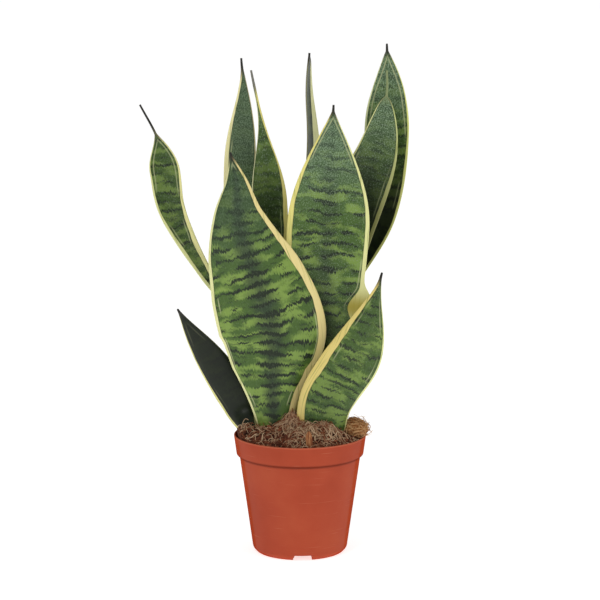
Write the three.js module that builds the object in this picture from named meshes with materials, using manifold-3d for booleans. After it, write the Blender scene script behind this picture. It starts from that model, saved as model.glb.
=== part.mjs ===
// Snake plant in a round nursery pot.  Millimetres, +Z up.  The pot is built about the Z axis and
// everything is moved at the end, so the origin is the middle of the whole object's base.
import * as THREE from "three";
import { mergeVertices } from "three/addons/utils/BufferGeometryUtils.js";
import Module from "manifold-3d";

const wasm = await Module();
wasm.setup();

// Driving sizes
const gap = 0.3;                 // air left between pieces that touch
const rimRadius = 60;
const potHeight = 108;
const rimHeight = 18;
const rimTaper = 2.4;            // how much narrower the band is at its lower edge
const rimStep = 2.6;             // how far the wall sits in below the band
const footRadius = 43;
const wall = 1.5;
const footHeight = 5;            // the floor is raised by this much, so water can run out
const footChamfer = 3.5;
const notchCount = 3;
const notchTurn = 3.5;           // degrees the front notch sits right of the middle
const notchWidth = [17.5, 13.5]; // at the ground, at its top
const drainHoles = 6;
const drainRadius = 4;
const drainCircle = 26;
const moundHeight = 15;          // soil above the lip in the middle
const soilBelowLip = 4;          // soil under the lip at the wall
const shoulderHeights = [5, 11.5];   // soil above its edge at 50 and 38 mm from the middle
const pileHeight = 10;           // soil heaped against the left of the wall
const pileFrom = 45;             // the heap lies outside this radius
const pileFocus = 6;             // the higher, the shorter the heap is along the wall
const footDepth = 24;            // leaf feet stand this far under the lip
const footSeat = 3;              // how far the feet straddle the rhizome
const rhizomeRadius = 9;
const rhizomeLength = 76;
const rhizomeY = 6;
const clumpSize = [12, 16, 9];           // half its width, depth and height
const clumpPlace = [49.5, -4, 113.5];
const chipHalfWidth = 4;
const chipHeight = 23;
const chipThickness = 2.2;
const chipLean = 0.12;                   // radians, top towards the back
const chipPlace = [8, -51.5, 99];

const footZ = potHeight - footDepth;
const leafThickness = [4.4, 3.0, 2.0];   // foot, middle, tip
const leafAround = 12;
const leafRows = 22;
const pointRadius = 1.35;        // the hard point at a leaf's end

// Each leaf: midrib passes through these places; widths are across the flattened blade;
// turn and hollow are degrees at the foot, the middle and the tip.
const leaves = {
  leaf_front_broad: {
    spine: [[-19.5, -9, footZ], [-24, -14, 135], [-25, -17, 170], [-24.5, -20, 205], [-36, -23, 245],
      [-48, -25, 280], [-54.5, -25, 310], [-56, -24, 340], [-61.5, -22, 367]],
    footWidth: 33, width: 99, widest: 0.44, tipTaper: 1.15, footTaper: 3.5, point: 3,
    turn: [176, 180, 180], hollow: [90, 42, 30], color: 0x4f6f38,
  },
  leaf_centre_broad: {
    spine: [[9, 3, footZ], [17, 4, 170], [24, 2, 280], [27, 4, 343], [30, 10, 406]],
    footWidth: 34, width: 76, widest: 0.67, tipTaper: 1.08, footTaper: 1.43, point: 6,
    flare: { height: 236, spread: 9, reach: 8 },
    turn: [-5, 0, 5], hollow: [110, 50, 36], color: 0x56743c,
  },
  leaf_low_right: {
    spine: [[20, -17, footZ], [23, -27, 139], [50, -35, 188], [66, -39, 238], [72.5, -37, 262]],
    footWidth: 40, width: 54, widest: 0.51, tipTaper: 1.42, footTaper: 0.78, point: 5,
    turn: [185, 185, 180], hollow: [100, 60, 40], color: 0x56743c,
  },
  leaf_low_left: {
    spine: [[-33, -27, footZ], [-44.5, -15, 110], [-54, 1, 126], [-62, 4, 143], [-79.5, 5, 172],
      [-98, -4, 203], [-109.5, -14, 225]],
    footWidth: 11, width: 35.5, widest: 0.48, tipTaper: 1.13, footTaper: 3.4, point: 3,
    turn: [175, 165, 170], hollow: [100, 60, 40], color: 0x232d1b,
  },
  leaf_far_left: {
    spine: [[-28, 15, footZ], [-51, 21, 195], [-85, 26, 250], [-104, 28, 283], [-117, 30, 313],
      [-122, 31, 345], [-129, 32, 374], [-144.5, 33, 404]],
    footWidth: 8, width: 29, widest: 0.89, tipTaper: 1.18, footTaper: 8, point: 30,
    turn: [20, 0, -10], hollow: [140, 60, 40], color: 0x4f6f38,
  },
  leaf_tall_left: {
    spine: [[-24, 26, footZ], [-38, 32, 194], [-55, 38, 306], [-51.5, 41, 410], [-53, 43, 445.3]],
    footWidth: 20, width: 30, widest: 0.76, tipTaper: 1.27, footTaper: 1.4, point: 10,
    turn: [0, 5, 10], hollow: [120, 60, 40], color: 0x35432c,
  },
  leaf_slim_left: {
    spine: [[-10, 13, footZ], [-25, 18, 192], [-26, 21, 302], [-33.3, 23, 379], [-44, 26, 435.6]],
    footWidth: 20, width: 34, widest: 0.69, tipTaper: 2.9, footTaper: 3.6, point: 14,
    turn: [-20, -10, -10], hollow: [120, 60, 40], color: 0x45603a,
  },
  leaf_slim_centre: {
    spine: [[7, 25, footZ], [0, 31, 232], [9.8, 38, 350], [7.2, 40, 416], [8.5, 42, 450]],
    footWidth: 18, width: 33, widest: 0.37, tipTaper: 0.48, footTaper: 1.4, point: 4,
    turn: [30, 50, 72], hollow: [120, 60, 40], color: 0x3d4b33,
  },
  leaf_tall_right: {
    spine: [[34, 28, footZ], [24.6, 42, 200], [71.3, 47, 303], [79.7, 52, 405], [79, 62, 457]],
    footWidth: 20, width: 42, widest: 0.81, tipTaper: 0.95, footTaper: 4.5, point: 7,
    turn: [-20, -10, 0], hollow: [120, 60, 40], color: 0x4a6a4a,
  },
  leaf_inner_right: {
    spine: [[31, 15, footZ], [24.5, 21, 187], [38.6, 24, 281], [69, 30, 360], [78, 38, 411],
      [78.4, 41, 434.3]],
    footWidth: 22, width: 51.2, widest: 0.65, tipTaper: 0.64, footTaper: 3.4, point: 24,
    turn: [-10, 0, 0], hollow: [120, 60, 40], color: 0x45603a,
  },
};

const rad = THREE.MathUtils.degToRad;

function v(x, y) {
  return new THREE.Vector2(x, y);
}

// Weld a geometry into a closed mesh of positions only.
function weld(geometry) {
  const g = geometry.clone();
  g.deleteAttribute("normal");
  g.deleteAttribute("uv");
  return mergeVertices(g, 1e-4);
}

function toSolid(geometry) {
  const g = weld(geometry);
  return new wasm.Manifold(new wasm.Mesh({
    numProp: 3,
    vertProperties: new Float32Array(g.attributes.position.array),
    triVerts: new Uint32Array(g.index.array),
  }));
}

function toGeometry(solid) {
  const mesh = solid.getMesh();
  const g = new THREE.BufferGeometry();
  g.setAttribute("position", new THREE.BufferAttribute(new Float32Array(mesh.vertProperties), 3));
  g.setIndex(new THREE.BufferAttribute(new Uint32Array(mesh.triVerts), 1));
  return g;
}

// Value at share s of a quantity known at the foot, at a middle share and at the tip.
function along(values, s, middle) {
  if (s < middle) {
    return THREE.MathUtils.lerp(values[0], values[1], s / middle);
  }
  return THREE.MathUtils.lerp(values[1], values[2], (s - middle) / (1 - middle));
}

function halfWidth(leaf, s, length) {
  const blade = s / (1 - leaf.point / length);
  const foot = leaf.footWidth / 2;
  const full = leaf.width / 2;
  if (blade < leaf.widest) {
    const swell = Math.sin(Math.PI / 2 * blade / leaf.widest) ** leaf.footTaper;
    return foot + (full - foot) * swell;
  }
  if (blade >= 1) {
    const end = Math.min((blade - 1) * length / leaf.point, 1);
    return pointRadius * (1 - 0.3 * end);
  }
  const close = Math.cos(Math.PI / 2 * (blade - leaf.widest) / (1 - leaf.widest)) ** leaf.tipTaper;
  return pointRadius + (full - pointRadius) * close;
}

// A leaf's right edge may flare out a little at one height; rightward is above 0 on that side.
function flareReach(leaf, height, rightward) {
  if (!leaf.flare || rightward <= 0) {
    return 0;
  }
  const away = (height - leaf.flare.height) / leaf.flare.spread;
  return leaf.flare.reach * Math.exp(-away * away);
}

// Midrib place, hollow direction and sideways direction at share s of the leaf's length.
function leafFrame(curve, leaf, s) {
  const t = curve.getTangentAt(s);
  const front = new THREE.Vector3(0, -1, 0);
  const n = front.addScaledVector(t, -front.dot(t)).normalize();
  const b = new THREE.Vector3().crossVectors(t, n);
  const turn = rad(along(leaf.turn, s, 0.5));
  const hollow = n.clone().multiplyScalar(Math.cos(turn)).addScaledVector(b, Math.sin(turn));
  return { place: curve.getPointAt(s), hollow, side: new THREE.Vector3().crossVectors(t, hollow) };
}

// A leaf is a closed tube whose round section is pressed into a thin hollow lens.
// grow thickens it all round; the soil's sockets are cut with a grown copy.
function leafGeometry(leaf, grow) {
  const curve = new THREE.CatmullRomCurve3(leaf.spine.map((p) => new THREE.Vector3(...p)));
  curve.curveType = "catmullrom";
  curve.tension = 0.5;
  const length = curve.getLength();
  const g = new THREE.CylinderGeometry(1, 1, 1, leafAround, leafRows);
  const pos = g.attributes.position;
  for (let i = 0; i < pos.count; i += 1) {
    const s = THREE.MathUtils.clamp(pos.getY(i) + 0.5, 0, 1);
    const across = pos.getX(i);
    const depth = pos.getZ(i);
    const { place, hollow, side } = leafFrame(curve, leaf, s);
    const half = halfWidth(leaf, s, length) + grow + flareReach(leaf, place.z, side.x * across);
    const thick = along(leafThickness, s, 0.5) / 2 + grow;
    const bend = rad(along(leaf.hollow, s, 0.35)) / 2;
    const radius = half / bend;
    const angle = bend * across;
    const reach = radius - thick * depth;
    place.addScaledVector(side, reach * Math.sin(angle));
    place.addScaledVector(hollow, radius - reach * Math.cos(angle));
    if (s === 0) {
      place.addScaledVector(curve.getTangentAt(0), -grow);
    }
    pos.setXYZ(i, place.x, place.y, place.z);
  }
  return g;
}

// Pot outline, outside then inside, from the middle of the floor's underside round to its top.
function potProfile() {
  const bandFoot = potHeight - rimHeight;
  const bandR = rimRadius - rimTaper;
  const wallR = bandR - rimStep;
  const ringR = footRadius - footChamfer;
  return [
    v(0, footHeight), v(ringR - 2.2, footHeight), v(ringR - 2.2, 0), v(ringR, 0),
    v(footRadius - 0.8, footChamfer - 0.6), v(footRadius, footChamfer + 1),
    v(wallR, bandFoot - 1), v(bandR, bandFoot), v(rimRadius, potHeight - 1),
    v(rimRadius - 0.4, potHeight), v(rimRadius - wall + 0.3, potHeight),
    v(rimRadius - wall, potHeight - 1), v(bandR - wall, bandFoot + 1.5),
    v(wallR - wall, bandFoot - 1), v(footRadius - wall, footHeight + wall + 1),
    v(footRadius - wall - 1.2, footHeight + wall), v(0, footHeight + wall),
  ];
}

function lathe(points, segments) {
  return new THREE.LatheGeometry(points, segments).rotateX(Math.PI / 2);
}

// Trapezoid prism lying from the middle out through the foot ring at the front.
function notchGeometry() {
  const low = notchWidth[0] / 2;
  const high = notchWidth[1] / 2;
  const shape = new THREE.Shape([v(-low, -0.5), v(low, -0.5), v(high, footHeight), v(-high, footHeight)]);
  const g = new THREE.ExtrudeGeometry(shape, { depth: 20, bevelEnabled: false });
  return g.rotateX(Math.PI / 2).translate(0, -footRadius + 15, 0);
}

function drainGeometry() {
  const tall = 3 * wall;
  const g = new THREE.CylinderGeometry(drainRadius, drainRadius, tall, 16).rotateX(Math.PI / 2);
  return g.translate(0, -drainCircle, footHeight + wall / 2);
}

function potGeometry() {
  let pot = toSolid(lathe(potProfile(), 60));
  for (let i = 0; i < notchCount; i += 1) {
    const turn = rad(notchTurn + i * 360 / notchCount);
    pot = pot.subtract(toSolid(notchGeometry().rotateZ(turn)));
  }
  for (let i = 0; i < drainHoles; i += 1) {
    const turn = rad(notchTurn + i * 360 / drainHoles);
    pot = pot.subtract(toSolid(drainGeometry().rotateZ(turn)));
  }
  return toGeometry(pot);
}

// The rhizome lies on its side under the leaf feet; swollen where each shoot rises.
function rhizomeGeometry(grow) {
  const half = rhizomeLength / 2;
  const r = rhizomeRadius;
  const points = [v(0, -half - grow), v(r * 0.6 + grow, -half + 2), v(r + grow, -half + 10)];
  points.push(v(r * 0.8 + grow, 0), v(r + grow, half - 10), v(r * 0.6 + grow, half - 2));
  points.push(v(0, half + grow));
  const g = new THREE.LatheGeometry(points, 14);
  return g.rotateZ(-Math.PI / 2).translate(0, rhizomeY, footZ + footSeat - r);
}

// A ring-shaped keep-out over the pot's lip, so nothing lying on the lip touches it.
function lipKeepOut() {
  const inner = rimRadius - wall - gap;
  const outer = rimRadius + 12;
  const top = potHeight + gap;
  const low = potHeight - rimHeight;
  return lathe([v(inner, low), v(outer, low), v(outer, top), v(inner, top), v(inner, low)], 60);
}

function clumpGeometry(grow) {
  const g = new THREE.SphereGeometry(1, 18, 12);
  const pos = g.attributes.position;
  for (let i = 0; i < pos.count; i += 1) {
    const x = pos.getX(i);
    const y = pos.getY(i);
    const z = pos.getZ(i);
    const lump = 1 + 0.07 * Math.sin(5 * x + 2 * z) * Math.cos(4 * y - x);
    const [wide, deep, tall] = clumpSize.map((size) => (size + grow) * lump);
    pos.setXYZ(i, wide * x, deep * y, tall * z);
  }
  return g.translate(...clumpPlace);
}

// The clump as it lies: pressed against the lip and the low right leaf.
function looseClumpGeometry() {
  const leaf = leafGeometry(leaves.leaf_low_right, gap);
  return toGeometry(toSolid(clumpGeometry(0)).subtract(toSolid(lipKeepOut())).subtract(toSolid(leaf)));
}

function chipGeometry(grow) {
  const w = chipHalfWidth + grow;
  const top = chipHeight + grow;
  const outline = [v(-w, -grow), v(w * 0.7, -grow), v(w, 9), v(w * 0.6, top - 3)];
  outline.push(v(-w * 0.1, top), v(-w * 0.8, top - 4), v(-w * 0.7, 8));
  const thick = chipThickness + 2 * grow;
  const g = new THREE.ExtrudeGeometry(new THREE.Shape(outline), { depth: thick, bevelEnabled: false });
  g.translate(0, 0, -thick / 2).rotateX(Math.PI / 2 + chipLean);
  return g.translate(...chipPlace);
}

// Root ball: fills the pot and mounds up in the middle, with sockets for what grows in it.
function soilGeometry() {
  const bandFoot = potHeight - rimHeight;
  const bandR = rimRadius - rimTaper - wall - gap;
  const top = potHeight + moundHeight;
  const edge = potHeight - soilBelowLip;
  const lipShare = (edge - bandFoot) / rimHeight;
  const points = [
    v(0, footHeight + wall + gap), v(footRadius - wall - 1.6, footHeight + wall + gap),
    v(footRadius - wall - gap, footHeight + wall + 1.2), v(bandR - rimStep - gap, bandFoot - 1.2),
    v(bandR - 0.2, bandFoot + 1.6), v(bandR + rimTaper * lipShare - gap, edge),
    v(50, edge + shoulderHeights[0]), v(38, edge + shoulderHeights[1]), v(22, top - 1.5), v(0, top),
  ];
  const body = lathe(points, 56);
  const pos = body.attributes.position;
  for (let i = 0; i < pos.count; i += 1) {
    const out = Math.hypot(pos.getX(i), pos.getY(i));
    if (pos.getZ(i) > edge - 1 && out > pileFrom) {
      const left = Math.max(-pos.getX(i) / out, 0);
      pos.setZ(i, pos.getZ(i) + pileHeight * left ** pileFocus);
    }
  }
  let soil = toSolid(body);
  for (const leaf of Object.values(leaves)) {
    soil = soil.subtract(toSolid(leafGeometry(leaf, gap)));
  }
  soil = soil.subtract(toSolid(rhizomeGeometry(gap)));
  soil = soil.subtract(toSolid(clumpGeometry(gap)));
  soil = soil.subtract(toSolid(chipGeometry(gap)));
  return toGeometry(soil);
}

const group = new THREE.Group();
group.name = "potted_snake_plant";

function add(name, geometry, color, roughness) {
  const material = new THREE.MeshStandardMaterial({ color, roughness, metalness: 0 });
  const mesh = new THREE.Mesh(geometry, material);
  mesh.name = name;
  group.add(mesh);
}

add("pot", potGeometry(), 0xb44e37, 0.5);
add("soil", soilGeometry(), 0x5b3a28, 0.95);
add("rhizome", rhizomeGeometry(0), 0xc9a86a, 0.8);
add("coir_clump", looseClumpGeometry(), 0x8b5b35, 0.95);
add("bark_chip", weld(chipGeometry(0)), 0x8f5a37, 0.85);
for (const [name, leaf] of Object.entries(leaves)) {
  const seated = toSolid(leafGeometry(leaf, 0)).subtract(toSolid(rhizomeGeometry(gap)));
  add(name, toGeometry(seated), leaf.color, 0.45);
}

const bounds = new THREE.Box3().setFromObject(group, true);
const middle = bounds.getCenter(new THREE.Vector3());
for (const mesh of group.children) {
  mesh.geometry.translate(-middle.x, -middle.y, -bounds.min.z);
}

export default group;
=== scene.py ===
import math
import random
from functools import partial

import bmesh
import bpy
import numpy as np
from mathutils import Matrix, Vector, noise


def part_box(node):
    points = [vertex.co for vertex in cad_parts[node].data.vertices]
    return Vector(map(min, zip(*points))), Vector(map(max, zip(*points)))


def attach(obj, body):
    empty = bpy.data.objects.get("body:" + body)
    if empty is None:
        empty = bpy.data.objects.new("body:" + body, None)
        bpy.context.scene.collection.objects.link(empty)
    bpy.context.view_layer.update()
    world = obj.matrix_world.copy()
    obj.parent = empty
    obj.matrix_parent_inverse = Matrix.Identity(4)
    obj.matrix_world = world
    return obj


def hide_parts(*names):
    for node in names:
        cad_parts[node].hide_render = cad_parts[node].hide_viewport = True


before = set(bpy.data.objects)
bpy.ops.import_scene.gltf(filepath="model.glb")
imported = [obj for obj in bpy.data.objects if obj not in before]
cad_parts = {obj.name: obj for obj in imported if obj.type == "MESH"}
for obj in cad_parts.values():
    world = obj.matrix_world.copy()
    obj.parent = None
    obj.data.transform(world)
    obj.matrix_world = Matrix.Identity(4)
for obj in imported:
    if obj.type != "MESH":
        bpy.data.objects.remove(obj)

print("stage: frame loaded")
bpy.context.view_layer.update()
mm = 0.001
potLow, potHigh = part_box("pot")
potAxis = np.array([(potLow[0] + potHigh[0]) / 2, (potLow[1] + potHigh[1]) / 2, 0.0])
potHeight = potHigh[2] / mm


def hexLinear(text):
    # sRGB hex to linear colour
    parts = [int(text[i:i + 2], 16) / 255 for i in (1, 3, 5)]
    return [c / 12.92 if c < 0.04045 else ((c + 0.055) / 1.055) ** 2.4 for c in parts] + [1.0]


# what a node's choice is called, and which sockets its values fill when not simply in order
choices = {"Math": "operation", "Mix": "data_type", "MapRange": "interpolation_type"}
socketOrder = {"RGBA": (0, 6, 7), "FLOAT": (0, 2, 3)}


def addNode(tree, what, *values, **named):
    # what is the kind of node and, after a space, its choice, as in "Math ADD"
    kind, _, choice = what.partition(" ")
    node = tree.nodes.new("ShaderNode" + kind)
    if choice:
        setattr(node, choices[kind], choice)
    pairs = list(zip(socketOrder.get(choice, range(len(values))), values))
    pairs += [(key.replace("_", " "), value) for key, value in named.items()]
    for key, value in pairs:
        if isinstance(value, bpy.types.Node):
            value = next(o for o in value.outputs if o.enabled)
        if isinstance(value, bpy.types.NodeSocket):
            tree.links.new(value, node.inputs[key])
        else:
            node.inputs[key].default_value = value
    return node


def newMaterial(name):
    material = bpy.data.materials.new(name)
    material.use_nodes = True
    material.node_tree.nodes.clear()
    return material, material.node_tree


def readValue(tree, name):
    node = addNode(tree, "Attribute")
    node.attribute_name = name
    return node.outputs["Fac"]


def finishMaterial(tree, shader):
    addNode(tree, "OutputMaterial", Surface=shader)


def setRamp(ramp, stops):
    elements = ramp.color_ramp.elements
    while len(elements) > 1:
        elements.remove(elements[-1])
    elements[0].position, elements[0].color = stops[0]
    for position, color in stops[1:]:
        elements.new(position).color = color


def newObject(name, verts, faces, smooth=True):
    mesh = bpy.data.meshes.new(name)
    mesh.from_pydata([tuple(v) for v in verts], [], [tuple(f) for f in faces])
    mesh.validate()
    mesh.update()
    mesh.polygons.foreach_set("use_smooth", [smooth] * len(mesh.polygons))
    obj = bpy.data.objects.new(name, mesh)
    bpy.context.scene.collection.objects.link(obj)
    return obj


def addValues(obj, name, values):
    layer = obj.data.attributes.new(name, "FLOAT", "POINT")
    layer.data.foreach_set("value", np.asarray(values, dtype=np.float32))


def ringFaces(rings, turns):
    # points listed ring by ring: a wall from each ring to the next, and a cap on both ends
    faces = []
    for i in range(rings - 1):
        for k in range(turns):
            j = (k + 1) % turns
            faces.append((i * turns + k, (i + 1) * turns + k, (i + 1) * turns + j, i * turns + j))
    faces.append(tuple(range(turns)))
    faces.append(tuple((rings - 1) * turns + k for k in reversed(range(turns))))
    return faces


def stripFaces(strips, size):
    # points listed strip by strip, each strip running the whole length, strips standing in a circle
    faces = []
    for k in range(strips):
        j = (k + 1) % strips
        for i in range(size - 1):
            faces.append((k * size + i, j * size + i, j * size + i + 1, k * size + i + 1))
    faces.append(tuple(k * size for k in reversed(range(strips))))
    faces.append(tuple(k * size + size - 1 for k in range(strips)))
    return faces


# the size and colours that all leaves share; lengths are in millimetres
leafShape = {
    "footDepth": 24.0, "thickness": (4.4, 3.0, 2.0), "pointRadius": 1.25, "inset": 0.2,
    "rows": 240, "around": 48, "crowding": 1.15, "edgeWave": 0.4, "waveLength": 17, "lens": 0.8,
    "mid": "#4e692f", "bright": "#86a04f", "dark": "#202b1a", "shadeColumn": "#27352c", "fibre": "#8f9d74",
    "dullDark": "#31442f", "dullSheenLight": "#93ab90", "speck": "#9db096", "deepShade": "#0b1008",
    "line": "#c3c896", "streak": "#8f9a4a", "ivory": "#fbf4be", "dryEdge": "#6b6247",
    "foldShadeGold": "#b09c1e", "creamShade": "#5a5020", "gloss": 0.3, "roughness": 0.34,
}
# noise in the skin: millimetres per repeat across and along, its own place in the noise, detail
leafPatterns = {
    "jag": (1.1, 24, 1.3, 2.0), "sway": (22, 40, 2.9, 1.0), "drift": (90, 60, 4.4, 1.0),
    "patch": (17, 8, 5.1, 2.0), "finePatch": (9, 10, 6.2, 2.0), "zone": (26, 9, 7.7, 1.0),
    "flecks": (1.0, 1.4, 9.4, 3.0), "streaks": (0.5, 60, 12.2, 3.0), "uneven": (400, 38, 18.0, 2.0),
    "threads": (1.1, 48, 20.0, 2.0), "lineHere": (300, 45, 22.0, 1.0), "lineGap": (400, 70, 24.0, 1.0),
    "swell": (5, 11, 25.0, 2.0),
}
# bands and margins of every leaf: reaches in millimetres, edges and depths as shares of full colour
leafBands = {
    "jag": 8.0, "sway": 10.0, "drift": 8.0, "fineRatio": 2.5, "patch": 4.0, "finePatch": 5.0, "grain": 0.9,
    "broadEdge": (0.65, 1.05), "fineEdge": (0.9, 1.5), "fineDepth": 0.6, "paleEdge": (0.44, 0.58),
    "columnEdge": (0.36, 0.0), "columnRagged": 0.11, "columnBands": 0.8, "columnDepth": 0.75,
    "dullDepth": 0.8, "bareTip": 0.22, "waneOver": 110, "drying": 14, "lineWidth": (0.8, 0.3),
    "lineReach": 7.0, "greenRim": (1.0, 0.4), "creamEdge": (0.35, -0.15), "creamShading": 0.22,
}
footZ = potHeight - leafShape["footDepth"]
# spine: places of the midrib; turn and hollow: degrees at foot, middle and tip; edges and creams:
# width and colour of the two margins; dull: how far down the tip is waxy and painted with sheen;
# shade: from, to, amount; flare: height, spread and reach of a fold in the right edge; centre: how
# strong the painted shade up the middle is
leaves = {
    "leaf_front_broad": {
        "spine": [(-19.5, -9, footZ), (-24, -14, 135), (-25, -17, 170), (-24.5, -20, 205), (-36, -23, 245),
                  (-48, -25, 280), (-54.5, -25, 310), (-56, -24, 340), (-61.5, -22, 367)],
        "footWidth": 33, "width": 99, "widest": 0.44, "tipTaper": 1.15, "footTaper": 3.5,
        "point": 3, "turn": (176, 180, 180), "hollow": (90, 42, 30),
        "edges": (7.0, 3.0), "creams": ("#eed789", "#e4e7a0"), "period": 9.5, "contrast": 1.0,
        "centre": 1.05, "dull": 120, "speckle": 0.1, "hazeAndSheen": 0.25,
        "shade": (0, 60, 0.15), "seed": 3.1, "tip": "#2b2a24",
    },
    "leaf_centre_broad": {
        "spine": [(9, 3, footZ), (17, 4, 170), (24, 2, 280), (27, 4, 343), (30, 10, 406)],
        "footWidth": 34, "width": 76, "widest": 0.67, "tipTaper": 1.08, "footTaper": 1.43,
        "point": 6, "turn": (-5, 0, 5), "hollow": (110, 50, 36),
        "flare": (236, 9, 8),
        "edges": (4.5, 3.2), "creams": ("#e8dc6c", "#ecee9e"), "period": 10.0, "contrast": 1.0,
        "centre": 0.6, "dull": 110, "speckle": 0.45, "hazeAndSheen": 1.0,
        "shade": (60, 175, 0.6), "seed": 11.7, "tip": "#2b2a24",
    },
    "leaf_low_right": {
        "spine": [(20, -17, footZ), (23, -27, 139), (50, -35, 188), (66, -39, 238), (72.5, -37, 262)],
        "footWidth": 40, "width": 54, "widest": 0.51, "tipTaper": 1.42, "footTaper": 0.78,
        "point": 5, "turn": (185, 185, 180), "hollow": (100, 60, 40),
        "edges": (2.4, 8.5), "creams": ("#dde694", "#e8cd64"), "period": 8.5, "contrast": 0.9,
        "centre": 0.2, "dull": 30, "speckle": 0.2, "hazeAndSheen": 0.5,
        "shade": (500, 600, 0.13), "seed": 23.9, "tip": "#2b2a24",
    },
    "leaf_low_left": {
        "spine": [(-33, -27, footZ), (-44.5, -15, 110), (-54, 1, 126), (-62, 4, 143), (-79.5, 5, 172),
                  (-98, -4, 203), (-109.5, -14, 225)],
        "footWidth": 11, "width": 35.5, "widest": 0.48, "tipTaper": 1.13, "footTaper": 3.4,
        "point": 3, "turn": (175, 165, 170), "hollow": (100, 60, 40),
        "edges": (0.8, 3.2), "creams": ("#5c6038", "#f4f294"), "period": 9.0, "contrast": 0.5,
        "centre": 0.0, "dull": 20, "speckle": 0.1, "hazeAndSheen": 0.3,
        "shade": (400, 500, 0.95), "seed": 31.3, "tip": "#2b2a24",
    },
    "leaf_far_left": {
        "spine": [(-28, 15, footZ), (-51, 21, 195), (-85, 26, 250), (-104, 28, 283), (-117, 30, 313),
                  (-122, 31, 345), (-129, 32, 374), (-144.5, 33, 404)],
        "footWidth": 8, "width": 29, "widest": 0.89, "tipTaper": 1.18, "footTaper": 8,
        "point": 30, "turn": (20, 0, -10), "hollow": (140, 60, 40),
        "edges": (2.6, 3.6), "creams": ("#e4ea9c", "#f2ee9e"), "period": 8.0, "contrast": 0.9,
        "centre": 0.0, "dull": 50, "speckle": 0.35, "hazeAndSheen": 0.4,
        "shade": (500, 600, 0.32), "seed": 43.3, "tip": "#2b2a24",
    },
    "leaf_tall_left": {
        "spine": [(-24, 26, footZ), (-38, 32, 194), (-55, 38, 306), (-51.5, 41, 410), (-53, 43, 445.3)],
        "footWidth": 20, "width": 30, "widest": 0.76, "tipTaper": 1.27, "footTaper": 1.4,
        "point": 10, "turn": (0, 5, 10), "hollow": (120, 60, 40),
        "edges": (4.4, 1.2), "creams": ("#faf2b4", "#b6ab7c"), "period": 8.5, "contrast": 0.5,
        "centre": 0.1, "dull": 260, "speckle": 0.25, "hazeAndSheen": 0.7,
        "shade": (500, 600, 0.15), "seed": 57.7, "tip": "#2b2a24",
    },
    "leaf_slim_left": {
        "spine": [(-10, 13, footZ), (-25, 18, 192), (-26, 21, 302), (-33.3, 23, 379), (-44, 26, 435.6)],
        "footWidth": 20, "width": 34, "widest": 0.69, "tipTaper": 2.9, "footTaper": 3.6,
        "point": 14, "turn": (-20, -10, -10), "hollow": (120, 60, 40),
        "edges": (1.6, 4.2), "creams": ("#dfe5b4", "#e6da6a"), "period": 8.0, "contrast": 0.6,
        "centre": 0.2, "dull": 60, "speckle": 0.6, "hazeAndSheen": 0.7,
        "shade": (200, 340, 0.6), "seed": 61.1, "creamShading": 0.4, "wane": (80, 130), "tip": "#77766c",
    },
    "leaf_slim_centre": {
        "spine": [(7, 25, footZ), (0, 31, 232), (9.8, 38, 350), (7.2, 40, 416), (8.5, 42, 450)],
        "footWidth": 18, "width": 33, "widest": 0.37, "tipTaper": 0.48, "footTaper": 1.4,
        "point": 4, "turn": (30, 50, 72), "hollow": (120, 60, 40),
        "edges": (1.0, 13.0), "creams": ("#55583f", "#eef0b0"), "period": 8.0, "contrast": 0.7,
        "centre": 0.1, "dull": 50, "speckle": 0.3, "hazeAndSheen": 0.5,
        "shade": (500, 600, 0.72), "seed": 71.9, "tip": "#2b2a24",
    },
    "leaf_tall_right": {
        "spine": [(34, 28, footZ), (24.6, 42, 200), (71.3, 47, 303), (79.7, 52, 405), (79, 62, 457)],
        "footWidth": 20, "width": 42, "widest": 0.81, "tipTaper": 0.95, "footTaper": 4.5,
        "point": 7, "turn": (-20, -10, 0), "hollow": (120, 60, 40),
        "edges": (2.2, 1.9), "creams": ("#dbe7ae", "#e0e878"), "period": 9.0, "contrast": 0.8,
        "centre": 0.0, "dull": 100, "speckle": 0.4, "hazeAndSheen": 1.0,
        "shade": (230, 330, 0.95), "seed": 83.3, "creamShading": 0.35, "tip": "#2b2a24",
    },
    "leaf_inner_right": {
        "spine": [(31, 15, footZ), (24.5, 21, 187), (38.6, 24, 281), (69, 30, 360), (78, 38, 411),
                  (78.4, 41, 434.3)],
        "footWidth": 22, "width": 51.2, "widest": 0.65, "tipTaper": 0.64, "footTaper": 3.4,
        "point": 24, "turn": (-10, 0, 0), "hollow": (120, 60, 40),
        "edges": (2.2, 3.4), "creams": ("#eef2a0", "#c3d07c"), "period": 8.0, "contrast": 0.6,
        "centre": 0.3, "dull": 110, "speckle": 0.9, "hazeAndSheen": 0.9,
        "shade": (220, 330, 0.93), "seed": 97.7, "creamShading": 0.75, "tip": "#8d9a6a",
    },
}


def catmull(points, t):
    # smooth curve through all the points
    p = np.array(points, float)
    p = np.vstack([2 * p[0] - p[1], p, 2 * p[-1] - p[-2]])
    spans = len(points) - 1
    i = np.minimum((t * spans).astype(int), spans - 1)
    w = (t * spans - i)[:, None]
    a, b, c, d = p[i], p[i + 1], p[i + 2], p[i + 3]
    return b + 0.5 * w * (c - a + w * (2 * a - 5 * b + 4 * c - d + w * (3 * (b - c) + d - a)))


def leafWidths(leaf, s, length):
    # half-width from foot to tip: swells to the widest place, then tapers into the hard point
    blade = s / (1 - leaf["point"] / length)
    widest = leaf["widest"]
    foot, full = leaf["footWidth"] / 2, leaf["width"] / 2
    low = np.sin(math.pi / 2 * np.clip(blade / widest, 0, 1)) ** leaf["footTaper"]
    high = np.cos(math.pi / 2 * np.clip((blade - widest) / (1 - widest), 0, 1)) ** leaf["tipTaper"]
    thin = leafShape["pointRadius"] * (1 - 0.3 * np.clip((blade - 1) * length / leaf["point"], 0, 1))
    return np.where(blade < widest, foot + (full - foot) * low, thin + (full - thin) * high)


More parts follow.
